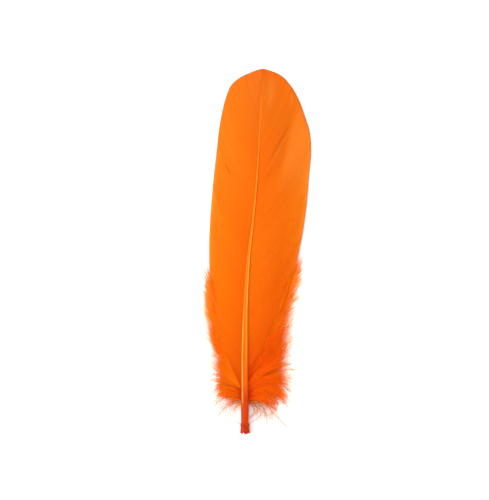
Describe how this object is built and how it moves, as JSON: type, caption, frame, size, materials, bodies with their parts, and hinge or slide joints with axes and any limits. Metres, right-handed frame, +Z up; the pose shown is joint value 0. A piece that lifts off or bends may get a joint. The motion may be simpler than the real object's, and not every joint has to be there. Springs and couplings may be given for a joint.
{
  "type": "goose quill feather",
  "caption": "Goose quill feather dyed orange, with a bare hollow quill, two broad smooth vanes of unequal width and loose down at their foot.",
  "frame": {"origin": "middle of the feather's box, on the surface it lies on", "axes": "+Y along the feather from the cut end of the quill to the tip, +Z up out of the outer face, +X towards the broader vane"},
  "size_m": [0.0508, 0.18, 0.0064],
  "materials": {
    "dyed_vane": "matte, silky along the barbs",
    "dyed_quill": "glossy translucent horn",
    "dyed_down": "soft, fluffy"
  },
  "bodies": {
    "root": {"goose_feather": "dyed_vane"}
  },
  "joints": []
}
